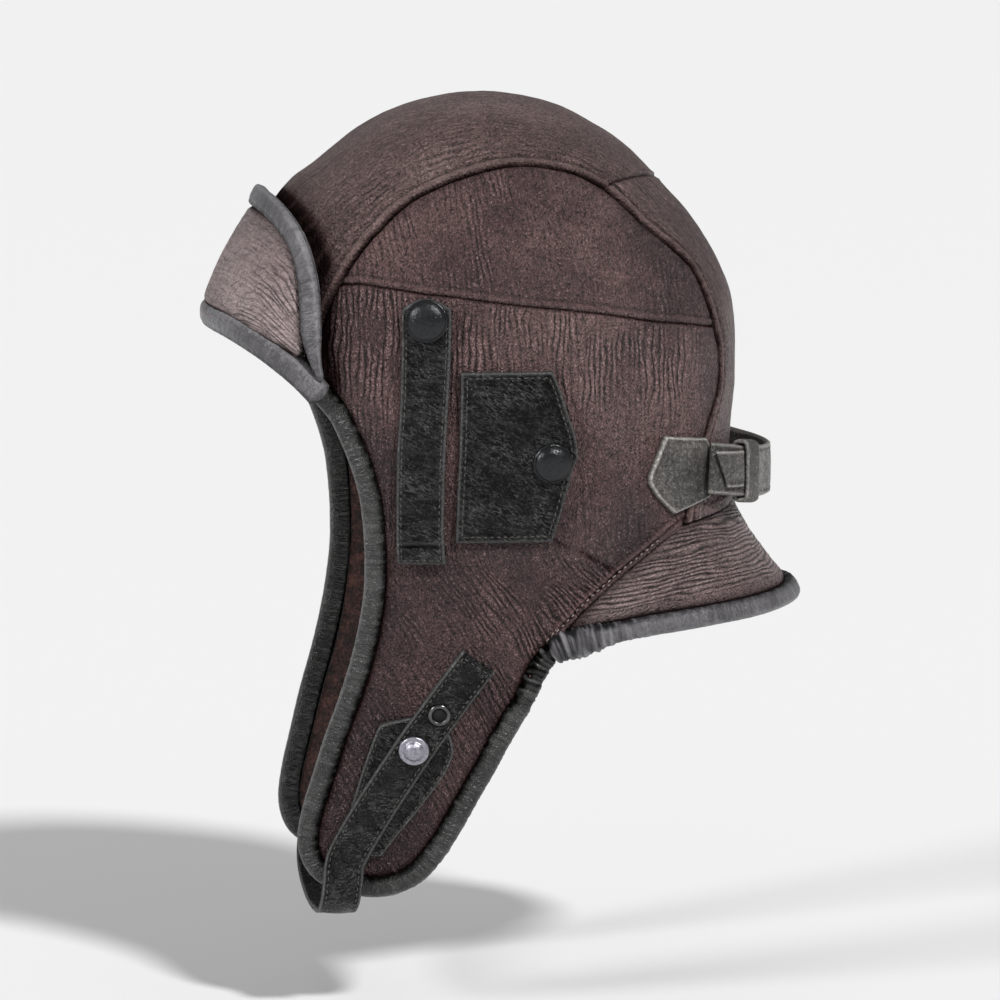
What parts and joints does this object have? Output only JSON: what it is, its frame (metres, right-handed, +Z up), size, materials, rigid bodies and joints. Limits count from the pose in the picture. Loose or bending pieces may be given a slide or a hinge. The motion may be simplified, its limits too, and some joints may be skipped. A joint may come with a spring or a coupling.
{
  "type": "leather flying helmet",
  "caption": "Soft leather cap with ear flaps, turned-up visor, flared neck flap, snap-down goggle keepers and ear covers, chin strap and nape strap.",
  "frame": {"origin": "the seat: inside top of the crown's lining, where the head carries it", "axes": "+Z up, -Y the front (face), +X the wearer's left"},
  "size_m": [0.1822, 0.249, 0.3367],
  "materials": {
    "brown_leather": "satin, fine pebbled grain with soft wrinkles",
    "black_leather": "semi-gloss, creased grain",
    "binding": "semi-matte, puckered",
    "fleece": "short dark fleece",
    "dark_metal": "glossy dark enamel",
    "bright_snap": "bright satin"
  },
  "bodies": {
    "root": {"back_loop": "black_leather", "back_strap": "black_leather", "back_strap_tail": "black_leather", "back_tab_L": "black_leather", "back_tab_R": "black_leather", "brow_binding": "binding", "chin_eyelet": "dark_metal", "chin_snap": "bright_snap", "chin_strap": "black_leather", "chin_tab_L": "black_leather", "chin_tab_R": "black_leather", "crown_centre_back": "brown_leather", "crown_centre_front": "brown_leather", "ear_cover_L": "black_leather", "ear_cover_R": "black_leather", "ear_snap_L": "dark_metal", "ear_snap_R": "dark_metal", "edge_binding_L": "binding", "edge_binding_R": "binding", "goggle_snap_L": "dark_metal", "goggle_snap_R": "dark_metal", "goggle_strap_L": "black_leather", "goggle_strap_R": "black_leather", "lining_centre": "fleece", "lining_neck": "fleece", "lining_side_L": "fleece", "lining_side_R": "fleece", "neck_binding": "binding", "neck_flap": "brown_leather", "side_lower_L": "brown_leather", "side_lower_R": "brown_leather", "side_upper_L": "brown_leather", "side_upper_R": "brown_leather", "visor": "brown_leather", "visor_binding": "binding"}
  },
  "joints": []
}
